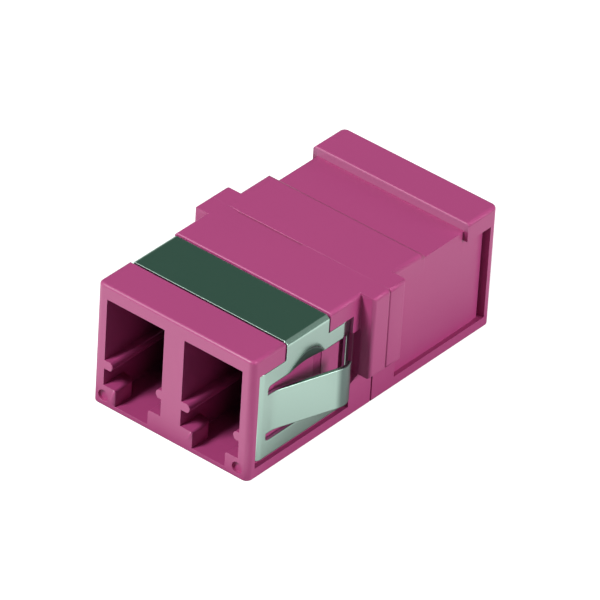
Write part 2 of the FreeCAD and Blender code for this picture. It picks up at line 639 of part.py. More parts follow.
# The clip, folded from one strip of spring steel. A saddle crosses the top; each side plate has
# a hook at its front, a tail at its rear, a window with a spring finger, and a dimple.
def make_clip(label):
    body = new_body(label)
    thick = size["sheet_thickness"]
    bend = size["clip_bend"]
    inside = bend - thick
    top = size["body_height"] - size["clip_recess"]
    side = half_width
    low = plate_top - BURIED

    arch = new_sketch(body, "arch_outline", "XZ_Plane", -collar_y - size["clip_front_gap"])
    add_outline(arch, [
        (side, low), (side, top - bend, bend, 1), (side - bend, top),
        (-side + bend, top, bend, 1), (-side, top - bend), (-side, low),
        (-side + thick, low), (-side + thick, top - bend, inside, -1),
        (-side + bend, top - thick), (side - bend, top - thick, inside, -1),
        (side - thick, top - bend), (side - thick, low)])
    grow(body, "Pad", "arch", arch,
         size["saddle_length"] - size["clip_front_gap"] - size["clip_rear_gap"], back=True)

    hook = size["hook_bend"]
    hook_x = slot_floor_x + size["hook_end_gap"]
    tail_x = side - sine(size["tail_angle"]) * size["tail_length"]
    inner_start = tail_start_y - thick * sine(size["tail_angle"]) / (cosine(size["tail_angle"]) + 1)
    plate = [
        (hook_x, hook_y),
        (side - hook, hook_y, hook, 1),
        (side, hook_y + hook),
        (side, tail_start_y),
        (tail_x, tail_end_y),
        (tail_x - cosine(size["tail_angle"]) * thick,
         tail_end_y - sine(size["tail_angle"]) * thick),
        (side - thick, inner_start),
        (side - thick, hook_y + hook, hook - thick, -1),
        (side - hook, hook_y + thick),
        (hook_x, hook_y + thick),
    ]
    plates = new_sketch(body, "side_plate_plan", "XY_Plane", plate_low)
    add_outline(plates, plate)
    add_outline(plates, mirrored(plate))
    grow(body, "Pad", "side_plates", plates, plate_top - plate_low)

    # The rounded upper front corners of the side plates.
    corner = size["plate_corner"]
    corners = new_sketch(body, "plate_corner_outline", "YZ_Plane")
    add_outline(corners, [
        (hook_y, plate_top - corner, corner, -1), (hook_y + corner, plate_top),
        (hook_y + corner, plate_top + PAST), (hook_y - PAST, plate_top + PAST),
        (hook_y - PAST, plate_top - corner)])
    grow(body, "Pocket", "plate_corners", corners, over * 2, both=True)

    # The dimple: a shallow cone pressed inwards, with a wall as thick as the sheet.
    fall = (dimple_rim - dimple_floor) * dimple_fall
    inner_rim = dimple_rim + (dimple_wall - thick) / dimple_fall
    for hand, name in ((1, "right"), (-1, "left")):
        for kind, word, start, edge, depth in (
                ("Revolution", "dimple", thick / 2, inner_rim, thick + fall),
                ("Groove", "dimple_hollow", ZERO, dimple_rim, fall)):
            profile = new_sketch(body, f"{name}_{word}_outline", "XY_Plane", dimple_z)
            face, crease, deep = (side - start) * hand, (side - start * 2) * hand, (side - depth) * hand
            corners = [(face, dimple_y), (face, dimple_y + edge), (crease, dimple_y + edge),
                       (deep, dimple_y + dimple_floor), (deep, dimple_y)]
            add_outline(profile, corners if kind == "Revolution" else corners[:2] + corners[3:])
            before = body_volume(body)
            axis_line = profile.addGeometry(Part.LineSegment(
                Vector(0, dimple_y.value, 0), Vector(PAST.value, dimple_y.value, 0)), True)
            pin_point(profile, axis_line, 1, (ZERO, dimple_y))
            pin_point(profile, axis_line, 2, (PAST, dimple_y))
            feature = body.newObject(f"PartDesign::{kind}", f"{name}_{word}")
            feature.Profile = profile
            feature.ReferenceAxis = (profile, ["Axis0"])
            feature.Angle = 360
            profile.Visibility = False
            doc.recompute()
            if (kind == "Revolution") != (body_volume(body) > before):
                raise RuntimeError(f"{name}_{word} changed nothing")

    # The window, which frees the finger and leaves half of the dimple.
    window = new_sketch(body, "window_outline", "YZ_Plane")
    soft = size["window_radius"]
    left, right = window_front_y, window_rear_y
    floor, roof = window_low, window_top
    add_outline(window, [
        (left + soft, floor), (right - soft, floor, soft, 1), (right, floor + soft),
        (right, roof - soft, soft, 1), (right - soft, roof),
        (left + soft, roof, soft, 1), (left, roof - soft),
        (left, floor + soft, soft, 1)])
    grow(body, "Pocket", "windows", window, over * 2, both=True)

    # The spring finger, bent outwards from the front of the window with its tip turned back.
    swing, tip = size["finger_bend"], size["tip_bend"]
    lean, turn = size["finger_angle"], size["tip_turn"] - size["finger_angle"]
    start_y = window_front_y + size["finger_root"]
    bend_in = swing - thick
    shift = as_size(1) - cosine(lean)
    p_outer = (side + bend_in * shift, start_y + bend_in * sine(lean))
    p_inner = (side - thick + swing * shift, start_y + swing * sine(lean))
    q_outer = (p_outer[0] + sine(lean) * size["finger_run"],
               p_outer[1] + cosine(lean) * size["finger_run"])
    q_inner = (p_inner[0] + sine(lean) * size["finger_run"],
               p_inner[1] + cosine(lean) * size["finger_run"])
    centre = (q_outer[0] - cosine(lean) * tip, q_outer[1] + sine(lean) * tip)
    r_outer = (centre[0] + cosine(turn) * tip, centre[1] + sine(turn) * tip)
    r_inner = (centre[0] + cosine(turn) * (tip - thick), centre[1] + sine(turn) * (tip - thick))
    root_y = left - BURIED
    finger_low, finger_top = window_low + size["finger_low_gap"], window_top - size["finger_high_gap"]
    finger = [
        (side, root_y), (side, start_y, bend_in, -1), p_outer,
        q_outer + (tip, 1), r_outer,
        r_inner + (tip - thick, -1), q_inner,
        p_inner + (swing, 1), (side - thick, start_y), (side - thick, root_y)]
    fingers = new_sketch(body, "finger_plan", "XY_Plane", finger_low)
    add_outline(fingers, finger)
    add_outline(fingers, mirrored(finger))
    grow(body, "Pad", "fingers", fingers, finger_top - finger_low)

    tip_y = r_outer[1].value
    levels = (finger_low.value, finger_top.value)
    round_edges(body, "finger_tips", size["tip_corner"],
                lambda e: any(near(e.CenterOfMass.z, level) for level in levels)
                and e.Curve.TypeId == "Part::GeomLine"
                and abs(e.Length - thick.value) < 1e-3
                and abs(e.CenterOfMass.y - tip_y) < thick.value)
    return body


spring_clip = make_clip("spring_clip")
doc.recompute()

for item in doc.Objects:
    if "Invalid" in item.State or "Error" in item.State:
        raise RuntimeError(f"{item.Name} failed: {item.State}")

for node in (front_housing, rear_housing, left_sleeve, right_sleeve, spring_clip):
    shape = node.Shape
    if shape.isNull() or not shape.isValid() or len(shape.Solids) != 1:
        raise RuntimeError(f"{node.Label} is not one sound solid")
    shape.exportStep(f"parts/{node.Label}.step")
    box = shape.BoundBox
    print(f"{node.Label}: volume {shape.Volume:.3f}, faces {len(shape.Faces)}, "
          f"x {box.XMin:.2f} to {box.XMax:.2f}, y {box.YMin:.2f} to {box.YMax:.2f}, "
          f"z {box.ZMin:.2f} to {box.ZMax:.2f}")
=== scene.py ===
import math

import bmesh
import bpy
from mathutils import Matrix, Vector


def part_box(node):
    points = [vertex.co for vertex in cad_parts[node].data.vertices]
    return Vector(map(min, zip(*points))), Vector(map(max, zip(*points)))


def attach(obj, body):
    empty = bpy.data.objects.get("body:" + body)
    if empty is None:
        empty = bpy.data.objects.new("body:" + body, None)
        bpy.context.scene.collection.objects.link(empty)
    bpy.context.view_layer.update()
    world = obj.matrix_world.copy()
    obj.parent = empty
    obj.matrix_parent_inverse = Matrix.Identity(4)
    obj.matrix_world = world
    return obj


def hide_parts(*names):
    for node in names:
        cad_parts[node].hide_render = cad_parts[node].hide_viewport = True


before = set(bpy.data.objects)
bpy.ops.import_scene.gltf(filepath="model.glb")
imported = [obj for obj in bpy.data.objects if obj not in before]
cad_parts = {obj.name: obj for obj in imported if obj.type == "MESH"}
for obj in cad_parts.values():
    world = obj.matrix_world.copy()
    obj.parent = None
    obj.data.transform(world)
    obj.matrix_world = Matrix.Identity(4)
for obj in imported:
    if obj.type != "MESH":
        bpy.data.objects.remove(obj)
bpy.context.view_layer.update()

# Duplex fibre adapter: two moulded halves, a folded steel clip and two ceramic sleeves.
# Lengths below are in millimetres unless a note says otherwise.
mm = 0.001
print("frame loaded:", sorted(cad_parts))


# sRGB hex to the linear colour that the shaders take
def linear(code):
    parts = [int(code[i:i + 2], 16) / 255 for i in (1, 3, 5)]
    return [c / 12.92 if c <= 0.04045 else ((c + 0.055) / 1.055) ** 2.4 for c in parts] + [1.0]


# one node with its settings and its inputs, each a plain value or the socket that feeds it
def addNode(tree, kind, settings=None, inputs=None):
    made = tree.nodes.new(kind)
    for name, value in (settings or {}).items():
        setattr(made, name, value)
    for socket, given in (inputs or {}).items():
        if isinstance(given, bpy.types.NodeSocket):
            tree.links.new(given, made.inputs[socket])
        else:
            made.inputs[socket].default_value = given
    return made


# the share of a place that lies in each one of several zones
def inAll(tree, whole, *others):
    for share in others:
        whole = addNode(tree, "ShaderNodeMath", {"operation": "MULTIPLY"},
                        {0: whole, 1: share}).outputs[0]
    return whole


# The share of a place in a zone, from 0 outside it to 1 inside. A soft side is a socket with where
# the zone begins and where it is full, and a hard side is one with the zone's two ends. The unit
# is 1 where they are no lengths.
def zoneShare(tree, soft=(), hard=(), unit=mm):
    shares = []
    for source, (start, full) in soft:
        shares.append(addNode(tree, "ShaderNodeMapRange", {"interpolation_type": "SMOOTHSTEP"},
                              {"Value": source, "From Min": start * unit,
                               "From Max": full * unit}).outputs[0])
    for source, (start, end) in hard:
        shares.append(addNode(tree, "ShaderNodeMath", {"operation": "COMPARE"},
                              {0: source, 1: (start + end) / 2 * unit,
                               2: (end - start) / 2 * unit}).outputs[0])
    return inAll(tree, *shares)


# distance from the middle plane, on either side of it
def fromMiddle(tree, source):
    return addNode(tree, "ShaderNodeMath", {"operation": "ABSOLUTE"}, {0: source}).outputs[0]


# lays further colours over the first one, each by its own share
def paintOver(tree, first, *layers):
    colour = linear(first)
    for share, code in layers:
        colour = addNode(tree, "ShaderNodeMix", {"data_type": "RGBA"},
                         {0: share, 6: colour, 7: linear(code)}).outputs[2]
    return colour


# a roughness that varies with a pattern by the material's own spread
def unevenRoughness(tree, look, pattern):
    return addNode(tree, "ShaderNodeMapRange",
                   inputs={"Value": pattern.outputs["Fac"],
                           "To Min": look["roughness"] - look["roughnessSpread"],
                           "To Max": look["roughness"] + look["roughnessSpread"]}).outputs[0]


# a new material, its empty tree and the piece's own coordinates
def newMaterial(name):
    material = bpy.data.materials.new(name)
    material.use_nodes = True
    material.node_tree.nodes.clear()
    place = addNode(material.node_tree, "ShaderNodeTexCoord").outputs["Object"]
    return material, material.node_tree, place


def finishMaterial(tree, shader):
    addNode(tree, "ShaderNodeOutputMaterial", inputs={"Surface": shader.outputs[0]})


# Moulded PBT in the violet-pink of its fibre grade. A fine spark-eroded grain from the mould
# gives a semi-matte skin, and the melt leaves a very slight cloudiness in the colour.
plastic = {
    "colour": "#AB4279", "cloudColour": "#A74077", "cloudSize": 6.0, "cloudDetail": 3.0,
    "grainSize": 0.09,       # real grain is about 0.03, drawn coarser so that it shows
    "grainDetail": 2.0, "grainHeight": 0.0012, "grainStrength": 0.35,
    "roughness": 0.42, "roughnessSpread": 0.05, "ior": 1.57,
    "edge": 0.02, "edgeSamples": 6,      # rounding left on the mould's cut edges
    # painted shade deep in the ports, a painted sheen on the collar step and painted shade along two
    # edges
    # the ends of each zone, or in depthAlong and stepRise where a tone begins and where it is full
    "portShadeColour": "#4A1A33", "depthAlong": (9.85, 6.35),
    "portAcross": (0.725, 5.525), "portRise": (0.2, 8.1),
    "stepSheenColour": "#AD6089", "stepAlong": (8.78, 8.86), "stepRise": (8.34, 8.42),
    "edgeShadeColour": "#9A3A6A", "edgeShadeAbove": 8.6,
    "edgeShadeBands": (((-0.20, 0.0), (-4.9, 0.3)), ((4.22, 4.56), (-6.3, 6.3))),      # along and across
}


# Painted shade: the ports' inner skins are painted darker with depth, as next to no light reaches
# them.
def paintedPortShade(tree, parts):
    return zoneShare(tree, soft=[(fromMiddle(tree, parts["Y"]), plastic["depthAlong"])],
                     hard=[(fromMiddle(tree, parts["X"]), plastic["portAcross"]),
                           (parts["Z"], plastic["portRise"])])


# Painted sheen: the upright step in front of the rear collar is painted paler and greyer than the rest
# of the skin.
def paintedStepSheen(tree, parts):
    return zoneShare(tree, soft=[(parts["Z"], plastic["stepRise"])],
                     hard=[(parts["Y"], plastic["stepAlong"])])


# Painted shade: the skin is painted a little darker along the weld's open stretch and the block's rear
# edge, where their slopes turn away from the light.
def paintedEdgeShade(tree, parts):
    bands = [zoneShare(tree, hard=[(parts["Y"], along), (parts["X"], across)])
             for along, across in plastic["edgeShadeBands"]]
    either = addNode(tree, "ShaderNodeMath", {"operation": "MAXIMUM"}, dict(enumerate(bands)))
    above = addNode(tree, "ShaderNodeMath", {"operation": "GREATER_THAN"},
                    {0: parts["Z"], 1: plastic["edgeShadeAbove"] * mm})
    return inAll(tree, above.outputs[0], either.outputs[0])


def mouldedPbt():
    material, tree, place = newMaterial("mouldedPbt")
    parts = addNode(tree, "ShaderNodeSeparateXYZ", inputs={0: place}).outputs
    clouds = addNode(tree, "ShaderNodeTexNoise",
                     inputs={"Vector": place, "Scale": 1 / (plastic["cloudSize"] * mm),
                             "Detail": plastic["cloudDetail"]})
    colour = paintOver(tree, plastic["colour"],
                       (clouds.outputs["Fac"], plastic["cloudColour"]),
                       (paintedPortShade(tree, parts), plastic["portShadeColour"]),
                       (paintedStepSheen(tree, parts), plastic["stepSheenColour"]),
                       (paintedEdgeShade(tree, parts), plastic["edgeShadeColour"]))
    grain = addNode(tree, "ShaderNodeTexNoise",
                    inputs={"Vector": place, "Scale": 1 / (plastic["grainSize"] * mm),
                            "Detail": plastic["grainDetail"]})
    rounding = addNode(tree, "ShaderNodeBevel", {"samples": plastic["edgeSamples"]},
                       {"Radius": plastic["edge"] * mm})
    bump = addNode(tree, "ShaderNodeBump",
                   inputs={"Strength": plastic["grainStrength"], "Height": grain.outputs["Fac"],
                           "Distance": plastic["grainHeight"] * mm, "Normal": rounding.outputs[0]})
    shader = addNode(tree, "ShaderNodeBsdfPrincipled",
                     inputs={"IOR": plastic["ior"], "Base Color": colour,
                             "Roughness": unevenRoughness(tree, plastic, grain),
                             "Normal": bump.outputs[0]})
    finishMaterial(tree, shader)
    return material


# Cold-rolled stainless spring strip. The rolls leave fine streaks along the strip, so that
# reflections stay clear but slightly drawn out.
steel = {
    "colour": "#B1CCC0", "roughness": 0.16, "roughnessSpread": 0.06,
    "streakWidth": 0.05, "streakLength": 3.0, "streakDetail": 3.0,
    "edge": 0.11, "edgeSamples": 8,      # rounding left on the sheared edges after tumbling
    # where each tone begins and where it is full, except for the dimple's middle in pressAt
    "bendOut": (5.86, 5.98), "bendRise": (8.48, 8.60),
    "bendGrain": 0.22, "bendDetail": 2.0, "bendHeight": 0.010,
    # painted shade on the dimple and on the curled tips, which mirror dark things
    "dimpleShadeColour": "#5C756B", "pressRoughness": 0.26,
    "pressAt": (-6.55, 5.30), "pressReach": (2.12, 2.0), "pressOut": (6.30, 6.26),
    "curlShadeColour": "#748680", "curlAlong": (-5.42, -4.92), "curlOut": (7.3, 7.5),
}


# the tool leaves a slightly uneven skin on the outside of the shoulder bends
def shoulderSkin(tree, place, side, height):
    dents = addNode(tree, "ShaderNodeTexNoise",
                    inputs={"Vector": place, "Scale": 1 / (steel["bendGrain"] * mm),
                            "Detail": steel["bendDetail"]})
    rounding = addNode(tree, "ShaderNodeBevel", {"samples": steel["edgeSamples"]},
                       {"Radius": steel["edge"] * mm})
    return addNode(tree, "ShaderNodeBump",
                   inputs={"Distance": steel["bendHeight"] * mm, "Height": dents.outputs["Fac"],
                           "Strength": zoneShare(tree, soft=[(side, steel["bendOut"]),
                                                             (height, steel["bendRise"])]),
                           "Normal": rounding.outputs[0]}).outputs[0]


# the share of the pressed dimple, a round patch that lies behind the strip's outer face
def pressedDimple(tree, parts, side):
    along, up = steel["pressAt"]
    flat = addNode(tree, "ShaderNodeCombineXYZ", inputs={"Y": parts["Y"], "Z": parts["Z"]})
    away = addNode(tree, "ShaderNodeVectorMath", {"operation": "DISTANCE"},
                   {0: flat.outputs[0], 1: (0, along * mm, up * mm)})
    return zoneShare(tree, soft=[(away.outputs["Value"], steel["pressReach"]),
                                 (side, steel["pressOut"])])


def rolledSpringSteel():
    material, tree, place = newMaterial("rolledSpringSteel")
    # the strip runs over the top along X and down the sides along Z, so the streaks are thin along Y
    long, thin = (1 / (steel[key] * mm) for key in ("streakLength", "streakWidth"))
    squeeze = addNode(tree, "ShaderNodeMapping", inputs={"Scale": (long, thin, long), "Vector": place})
    streaks = addNode(tree, "ShaderNodeTexNoise",
                      inputs={"Scale": 1.0, "Detail": steel["streakDetail"],
                              "Vector": squeeze.outputs[0]})
    parts = addNode(tree, "ShaderNodeSeparateXYZ", inputs={0: place}).outputs
    side = fromMiddle(tree, parts["X"])
    # painted shade: the dimple and the fingers' curled tips are painted darker than the strip, for the
    # dark things that they mirror, and the dimple is left rougher
    pressed = pressedDimple(tree, parts, side)
    curl = zoneShare(tree, soft=[(parts["Y"], steel["curlAlong"]), (side, steel["curlOut"])])
    colour = paintOver(tree, steel["colour"], (pressed, steel["dimpleShadeColour"]),
                       (curl, steel["curlShadeColour"]))
    rough = addNode(tree, "ShaderNodeMath", {"operation": "MULTIPLY_ADD"},
                    {0: pressed, 1: steel["pressRoughness"],
                     2: unevenRoughness(tree, steel, streaks)})
    shader = addNode(tree, "ShaderNodeBsdfPrincipled",
                     inputs={"Metallic": 1.0, "Base Color": colour, "Roughness": rough.outputs[0],
                             "Normal": shoulderSkin(tree, place, side, parts["Z"])})
    finishMaterial(tree, shader)
    return material


# Ground zirconia: dense, ivory white, with a smooth satin sheen.
ceramic = {
    "colour": "#ECE8DC", "roughness": 0.22, "roughnessSpread": 0.04, "ior": 2.15,
    "grindSize": 0.111,      # real marks are about 0.01, drawn coarser so that they show
    "grindDetail": 2.0,
}


def groundZirconia():
    material, tree, place = newMaterial("groundZirconia")
    grind = addNode(tree, "ShaderNodeTexNoise",
                    inputs={"Vector": place, "Scale": 1 / (ceramic["grindSize"] * mm),
                            "Detail": ceramic["grindDetail"]})
    shader = addNode(tree, "ShaderNodeBsdfPrincipled",
                     inputs={"Base Color": linear(ceramic["colour"]), "IOR": ceramic["ior"],
                             "Roughness": unevenRoughness(tree, ceramic, grind)})
    finishMaterial(tree, shader)
    return material


# The moulded body's outer sizes without its ears, and the slack in comparing places on it.
body = {"halfWidth": 6.3, "halfLength": 11.85, "height": 9.0, "slack": 0.001}
acrossAxis, alongAxis, upAxis = 0, 1, 2
cutReach = 0.00001         # a point this near to a cutting plane counts as lying on it


def inMm(vertex):
    return [part / mm for part in vertex.co]


# cuts the mesh open at a plane that stands square to an axis
def cutMesh(shell, axis, place):
    point, normal = Vector(), Vector()
    point[axis], normal[axis] = place * mm, 1
    bmesh.ops.bisect_plane(shell, geom=shell.verts[:] + shell.edges[:] + shell.faces[:],
                           dist=cutReach * mm, plane_co=point, plane_no=normal)


# Where an upright corner of the body meets the level edges of the port face and the sides, the
# roundings are led into each other as a ring round the corner.
corner = {
    "upright": 0.45, "topFace": 0.20, "topSide": 0.25, "bottom": 0.10, "slack": 0.02,
    "levelCuts": (0.45, 0.36, 0.28, 0.20, 0.13, 0.07, 0.03),      # distances from the outer faces
    "heightCuts": (0.25, 0.20, 0.14, 0.10, 0.06, 0.03),
}


def cutCorners(shell):
    for gap in corner["levelCuts"]:
        for sign in (-1, 1):
            cutMesh(shell, acrossAxis, sign * (body["halfWidth"] - gap))
            cutMesh(shell, alongAxis, sign * (body["halfLength"] - gap))
    for gap in corner["heightCuts"]:
        cutMesh(shell, upAxis, gap)
        cutMesh(shell, upAxis, body["height"] - gap)


def roundCorners(shell):
    cutCorners(shell)
    r = corner["upright"]
    for vertex in shell.verts:
        x, y, z = inMm(vertex)
        middle = Vector((math.copysign(body["halfWidth"] - r, x),
                         math.copysign(body["halfLength"] - r, y)))
        out = Vector((abs(x) - abs(middle.x), abs(y) - abs(middle.y)))
        if min(out) <= 0 or out.length < corner["slack"]:
            continue
        reach = out.length
        away = (Vector((x, y)) - middle) / reach
        upper = z > body["height"] / 2
        soft = corner["bottom"]
        if upper:
            share = math.atan2(out.x, out.y) / (math.pi / 2)
            soft = corner["topFace"] + (corner["topSide"] - corner["topFace"]) * share
        over = z - (body["height"] - soft) if upper else soft - z
        past = Vector((reach - (r - soft), over))
        if over <= 0 and reach > r - corner["slack"]:
            vertex.co.xy = (middle + away * r) * mm
        elif over > 0 and past.x > 0 and past.length > soft:
            past *= soft / past.length
            vertex.co.xy = (middle + away * (r - soft + past.x)) * mm
            vertex.co.z = (body["height"] - soft + past.y if upper else soft - past.y) * mm


# The seam shows on the top only left of the middle, where the front half falls off slightly
# towards it. The rest of it was closed by the weld.
seam = {"depth": 0.03, "reach": 0.04, "dip": 0.045, "fallFrom": -0.2,
        "across": (-5.7, -4.9, -0.6, 1.2)}      # closed, open, open, closed


def shapeSeam(shell):
    for place in seam["across"]:
        cutMesh(shell, acrossAxis, place)
    cutMesh(shell, alongAxis, seam["fallFrom"])
    start, full, last, end = seam["across"]
    for vertex in shell.verts:
        x, y, z = inMm(vertex)
        if abs(y) < seam["reach"] and z > body["height"] - seam["depth"] - body["slack"]:
            share = min((x - start) / (full - start), (end - x) / (end - last))
            dip = seam["dip"] if y < seam["reach"] / 2 else 0
            vertex.co.z = (body["height"] - dip * min(max(share, 0), 1)) * mm


# Roundings that the mould has and the solids leave sharp or smaller: along the sides of the low
# rear stretch and of the middle block, and across the block's rear edge.
easing = {
    "steps": 6, "blockRadius": 0.30, "rearEdge": 4.55, "rearRadius": 0.36,
    "lowHeight": 8.3, "lowRadius": 0.25, "lowStretch": (4.57, 8.83),
    "earCuts": (1.53, 1.57),      # on both sides of where the ears end, so that their tops stay flat
}


def cutAtEars(shell):
    for place in easing["earCuts"]:
        for sign in (-1, 1):
            cutMesh(shell, alongAxis, sign * place)


# lowers what stands over a quarter round, which ends at the given place on an axis and runs
# between two places along the adapter
def easeEdge(shell, axis, place, level, radius, along):
    for sign in ((-1, 1) if axis == acrossAxis else (1,)):
        for step in range(easing["steps"]):
            back = radius * (1 - math.sin(math.pi / 2 * step / easing["steps"]))
            cutMesh(shell, axis, sign * (place - back))
    for vertex in shell.verts:
        where = inMm(vertex)
        outward = abs(where[axis]) if axis == acrossAxis else where[axis]
        reach = outward - (place - radius)
        inside = along[0] - body["slack"] < where[alongAxis] < along[1] + body["slack"]
        if inside and 0 < reach <= radius + body["slack"]:
            top = level - radius + math.sqrt(radius ** 2 - min(reach, radius) ** 2)
            if top < where[upAxis] <= level + body["slack"]:
                vertex.co.z = top * mm


def easeRear(shell):
    for place in easing["lowStretch"]:
        cutMesh(shell, alongAxis, place)
    rear, radius = easing["rearEdge"], easing["rearRadius"]
    easeEdge(shell, acrossAxis, body["halfWidth"], easing["lowHeight"], easing["lowRadius"],
             easing["lowStretch"])
    easeEdge(shell, acrossAxis, body["halfWidth"], body["height"], easing["blockRadius"],
             (max(easing["earCuts"]), rear))
    easeEdge(shell, alongAxis, rear, body["height"], radius, (rear - radius, rear))


# The pocket behind the clip's dimple runs out gently to the rear.
pocket = {"floor": 5.842, "rear": -4.817, "slack": 0.01, "run": 0.6}


def slopePocket(shell):
    for vertex in shell.verts:
        x, y, z = inMm(vertex)
        if max(abs(abs(x) - pocket["floor"]), abs(y - pocket["rear"])) < pocket["slack"]:
            vertex.co.y -= pocket["run"] * mm


# How a solid's triangles are joined up: how near points are to be one, the steepest bend that still
# counts as flat, and the least bend of a sharp edge, both in degrees.
joining = {"weld": 0.0002, "flat": 0.8, "sharp": 38}


# Puts a mesh in its solid's place. Faces weighted by their area keep the flats flat beside the
# small roundings.
def finishPiece(label, mesh, node):
    piece = bpy.data.objects.new(label, mesh)
    bpy.context.scene.collection.objects.link(piece)
    weights = piece.modifiers.new("flatFaces", "WEIGHTED_NORMAL")
    weights.keep_sharp = True
    bpy.context.view_layer.update()
    final = bpy.data.meshes.new_from_object(piece.evaluated_get(bpy.context.evaluated_depsgraph_get()))
    piece.modifiers.clear()
    piece.data = final
    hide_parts(node)
    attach(piece, "root")
    print(label, "has", len(final.polygons), "faces")


# a copy of a solid's mesh, joined up and with the given changes, takes the solid's place
def dress(node, label, material, slot, *changes):
    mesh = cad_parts[node].data.copy()
    shell = bmesh.new()
    shell.from_mesh(mesh)
    bmesh.ops.remove_doubles(shell, verts=shell.verts, dist=joining["weld"] * mm)
    bmesh.ops.dissolve_limit(shell, angle_limit=math.radians(joining["flat"]), verts=shell.verts,
                             edges=shell.edges)
    for change in changes:
        change(shell)
    shell.to_mesh(mesh)
    shell.free()
    mesh.materials.clear()
    mesh.materials.append(material)
    for face in mesh.polygons:
        face.use_smooth = True
    mesh.set_sharp_from_angle(angle=math.radians(joining["sharp"]))
    finishPiece(label, mesh, node)


housingFinish = mouldedPbt()
clipFinish = rolledSpringSteel()
sleeveFinish = groundZirconia()
onBothHalves = (roundCorners, shapeSeam, cutAtEars)
dress("front_housing", "frontMoulding", housingFinish, "housing", *onBothHalves, slopePocket)
dress("rear_housing", "rearMoulding", housingFinish, "housing", *onBothHalves, easeRear)
dress("spring_clip", "springClip", clipFinish, "clip")
print("mouldings and clip ready")


# The split sleeves, each an arc with a wall drawn round it.
sleeve = {"length": 6.8, "outer": 1.62, "inner": 1.25, "slit": 0.3, "edge": 0.06, "edgeSteps": 3,
          "steps": 96, "sharp": 50}      # the least bend of a sharp edge is in degrees


def addInput(tree, name, kind, value):
    socket = tree.interface.new_socket(name=name, in_out="INPUT", socket_type=kind)
    socket.default_value = value
    return socket.identifier


def sleeveTree(material):
    tree = bpy.data.node_groups.new("splitSleeve", "GeometryNodeTree")
    tree.interface.new_socket(name="Geometry", in_out="OUTPUT", socket_type="NodeSocketGeometry")
    names = {"Length": "length", "Outer Diameter": "outer", "Inner Diameter": "inner",
             "Slit Width": "slit", "Edge Radius": "edge"}
    ids = {key: addInput(tree, name, "NodeSocketFloat", sleeve[key] * mm)
           for name, key in names.items()}
    ids["steps"] = addInput(tree, "Steps", "NodeSocketInt", sleeve["steps"])
    ids["place"] = addInput(tree, "Place", "NodeSocketVector", (0, 0, 0))
    given = addNode(tree, "NodeGroupInput").outputs
    sizes = {"outer": given["Outer Diameter"], "inner": given["Inner Diameter"],
             "slit": given["Slit Width"]}
    # each further size, from two earlier ones or numbers
    formulas = (
        ("total", "ADD", "outer", "inner"),
        ("middle", "MULTIPLY", "total", 0.25),           # the radius half way through the wall
        ("spread", "SUBTRACT", "outer", "inner"),
        ("wall", "MULTIPLY", "spread", 0.5),
        ("gap", "DIVIDE", "slit", "middle"),             # the slit as an angle
        ("half", "MULTIPLY", "gap", 0.5),
        ("start", "SUBTRACT", "half", math.pi / 2),      # half a slit past the lowest place
        ("sweep", "SUBTRACT", 2 * math.pi, "gap"),
    )
    for name, operation, first, second in formulas:
        sizes[name] = addNode(tree, "ShaderNodeMath", {"operation": operation},
                              {0: sizes.get(first, first), 1: sizes.get(second, second)}).outputs[0]
    arc = addNode(tree, "GeometryNodeCurveArc",
                  inputs={"Resolution": given["Steps"], "Radius": sizes["middle"],
                          "Start Angle": sizes["start"], "Sweep Angle": sizes["sweep"]})
    section = addNode(tree, "GeometryNodeCurvePrimitiveQuadrilateral",
                      inputs={"Width": sizes["wall"], "Height": given["Length"]})
    eased = addNode(tree, "GeometryNodeFilletCurve", {"mode": "POLY"},
                    {"Count": sleeve["edgeSteps"], "Curve": section.outputs[0],
                     "Radius": given["Edge Radius"]})
    tube = addNode(tree, "GeometryNodeCurveToMesh",
                   inputs={"Fill Caps": True, "Curve": arc.outputs[0],
                           "Profile Curve": eased.outputs[0]})
    smooth = addNode(tree, "GeometryNodeSetShadeSmooth", inputs={0: tube.outputs[0]})
    laid = addNode(tree, "GeometryNodeTransform",
                   inputs={"Rotation": (math.pi / 2, 0, 0), "Geometry": smooth.outputs[0],
                           "Translation": given["Place"]})
    real = addNode(tree, "GeometryNodeRealizeInstances", inputs={"Geometry": laid.outputs[0]})
    coated = addNode(tree, "GeometryNodeSetMaterial",
                     inputs={"Material": material, "Geometry": real.outputs[0]})
    addNode(tree, "NodeGroupOutput", inputs={"Geometry": coated.outputs[0]})
    return tree, ids


def makeSleeve(label, tree, ids, node):
    low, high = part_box(node)
    carrier = bpy.data.objects.new("carrier_" + label, bpy.data.meshes.new("carrier_" + label))
    bpy.context.scene.collection.objects.link(carrier)
    builder = carrier.modifiers.new("build", "NODES")
    builder.node_group = tree
    for key in ("length", "outer", "inner", "slit", "edge"):
        builder[ids[key]] = sleeve[key] * mm
    builder[ids["steps"]] = sleeve["steps"]
    builder[ids["place"]] = ((low.x + high.x) / 2, 0, high.z - sleeve["outer"] / 2 * mm)
    bpy.context.view_layer.update()
    mesh = bpy.data.meshes.new_from_object(
        carrier.evaluated_get(bpy.context.evaluated_depsgraph_get()))
    bpy.data.objects.remove(carrier)
    mesh.set_sharp_from_angle(angle=math.radians(sleeve["sharp"]))
    finishPiece(label, mesh, node)


sleeveNodes, sleeveIds = sleeveTree(sleeveFinish)
makeSleeve("leftSleeve", sleeveNodes, sleeveIds, "left_alignment_sleeve")
makeSleeve("rightSleeve", sleeveNodes, sleeveIds, "right_alignment_sleeve")
print("sleeves ready")


